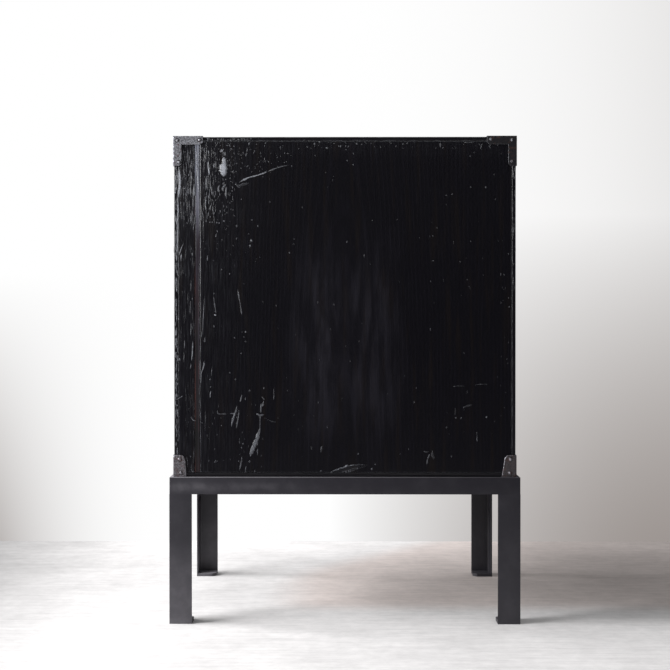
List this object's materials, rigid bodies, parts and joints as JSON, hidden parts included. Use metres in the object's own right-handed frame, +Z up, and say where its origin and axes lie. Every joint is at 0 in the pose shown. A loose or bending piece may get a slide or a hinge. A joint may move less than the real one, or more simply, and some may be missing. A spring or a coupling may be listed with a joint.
{
  "type": "tansu chest",
  "caption": "Black lacquered tansu chest with iron corner plates, drawers with bail handles and side carrying handles, on a low stand of black angle iron.",
  "frame": {"origin": "on the floor, below the middle of the whole object's box", "axes": "+Z up, -Y towards the drawers' fronts, +Y towards the back that the picture shows, +X to the right as seen from the front"},
  "size_m": [0.6494, 0.4794, 0.8651],
  "materials": {
    "lacquer": "black lacquer over flat-sawn board, worn",
    "bare_wood": "planed, unfinished",
    "seam_wood": "dusty, worn bare",
    "worn_iron": "forged sheet, darkened and worn",
    "stand_paint": "satin black paint on angle iron"
  },
  "bodies": {
    "stand": {"stand_rail_front": "stand_paint", "stand_rail_back": "stand_paint", "stand_rail_left": "stand_paint", "stand_rail_right": "stand_paint", "stand_leg_front_left": "stand_paint", "stand_leg_front_right": "stand_paint", "stand_leg_back_left": "stand_paint", "stand_leg_back_right": "stand_paint"},
    "chest": {"top_board": "lacquer", "bottom_board": "lacquer", "side_board_left": "lacquer", "side_board_right": "lacquer", "back_board_wide": "lacquer", "back_board_narrow": "lacquer", "back_seam_strip": "seam_wood", "shelf_lower": "bare_wood", "shelf_upper": "bare_wood", "corner_iron_top_back_left": "worn_iron", "corner_iron_top_back_right": "worn_iron", "corner_iron_top_front_left": "worn_iron", "corner_iron_top_front_right": "worn_iron", "corner_iron_foot_back_left": "worn_iron", "corner_iron_foot_back_right": "worn_iron", "corner_iron_foot_front_left": "worn_iron", "corner_iron_foot_front_right": "worn_iron", "side_handle_plate_left": "worn_iron", "side_handle_plate_right": "worn_iron"},
    "side_bail_left": {"side_bail_left": "worn_iron"},
    "side_bail_right": {"side_bail_right": "worn_iron"},
    "drawer_bottom": {"drawer_bottom_front": "lacquer", "drawer_bottom_floor": "bare_wood", "drawer_bottom_side_left": "bare_wood", "drawer_bottom_side_right": "bare_wood", "drawer_bottom_back": "bare_wood", "drawer_bottom_plate_left": "worn_iron", "drawer_bottom_plate_right": "worn_iron"},
    "drawer_bottom_bail_left": {"drawer_bottom_bail_left": "worn_iron"},
    "drawer_bottom_bail_right": {"drawer_bottom_bail_right": "worn_iron"},
    "drawer_middle": {"drawer_middle_front": "lacquer", "drawer_middle_floor": "bare_wood", "drawer_middle_side_left": "bare_wood", "drawer_middle_side_right": "bare_wood", "drawer_middle_back": "bare_wood", "drawer_middle_plate_left": "worn_iron", "drawer_middle_plate_right": "worn_iron"},
    "drawer_middle_bail_left": {"drawer_middle_bail_left": "worn_iron"},
    "drawer_middle_bail_right": {"drawer_middle_bail_right": "worn_iron"},
    "drawer_top": {"drawer_top_front": "lacquer", "drawer_top_floor": "bare_wood", "drawer_top_side_left": "bare_wood", "drawer_top_side_right": "bare_wood", "drawer_top_back": "bare_wood", "drawer_top_plate_left": "worn_iron", "drawer_top_plate_right": "worn_iron", "lock_plate": "worn_iron", "lock_case": "worn_iron"},
    "drawer_top_bail_left": {"drawer_top_bail_left": "worn_iron"},
    "drawer_top_bail_right": {"drawer_top_bail_right": "worn_iron"},
    "lock_bolt": {"lock_bolt": "worn_iron"}
  },
  "joints": [
    {"name": "chest_lift", "type": "slide", "parent": "stand", "child": "chest", "axis": [0, 0, 1], "range_m": [0, 0.3]},
    {"name": "drawer_bottom_slide", "type": "slide", "parent": "chest", "child": "drawer_bottom", "axis": [0, -1, 0], "range_m": [0, 0.38]},
    {"name": "drawer_middle_slide", "type": "slide", "parent": "chest", "child": "drawer_middle", "axis": [0, -1, 0], "range_m": [0, 0.38]},
    {"name": "drawer_top_slide", "type": "slide", "parent": "chest", "child": "drawer_top", "axis": [0, -1, 0], "range_m": [0, 0.38]},
    {"name": "side_bail_left_swing", "type": "hinge", "parent": "chest", "child": "side_bail_left", "pos_m": [-0.3178, 0.00425, 0.6733], "axis": [0, 1, 0], "range_deg": [0, 180]},
    {"name": "side_bail_right_swing", "type": "hinge", "parent": "chest", "child": "side_bail_right", "pos_m": [0.3178, 0.00425, 0.6733], "axis": [0, -1, 0], "range_deg": [0, 180]},
    {"name": "drawer_bottom_bail_left_swing", "type": "hinge", "parent": "drawer_bottom", "child": "drawer_bottom_bail_left", "pos_m": [-0.15, -0.23505, 0.3862], "axis": [-1, 0, 0], "range_deg": [0, 180]},
    {"name": "drawer_bottom_bail_right_swing", "type": "hinge", "parent": "drawer_bottom", "child": "drawer_bottom_bail_right", "pos_m": [0.15, -0.23505, 0.3862], "axis": [-1, 0, 0], "range_deg": [0, 180]},
    {"name": "drawer_middle_bail_left_swing", "type": "hinge", "parent": "drawer_middle", "child": "drawer_middle_bail_left", "pos_m": [-0.15, -0.23505, 0.5802], "axis": [-1, 0, 0], "range_deg": [0, 180]},
    {"name": "drawer_middle_bail_right_swing", "type": "hinge", "parent": "drawer_middle", "child": "drawer_middle_bail_right", "pos_m": [0.15, -0.23505, 0.5802], "axis": [-1, 0, 0], "range_deg": [0, 180]},
    {"name": "drawer_top_bail_left_swing", "type": "hinge", "parent": "drawer_top", "child": "drawer_top_bail_left", "pos_m": [-0.15, -0.23505, 0.7742], "axis": [-1, 0, 0], "range_deg": [0, 180]},
    {"name": "drawer_top_bail_right_swing", "type": "hinge", "parent": "drawer_top", "child": "drawer_top_bail_right", "pos_m": [0.15, -0.23505, 0.7742], "axis": [-1, 0, 0], "range_deg": [0, 180]},
    {"name": "lock_bolt_rise", "type": "slide", "parent": "drawer_top", "child": "lock_bolt", "axis": [0, 0, 1], "range_m": [0, 0.009]}
  ]
}
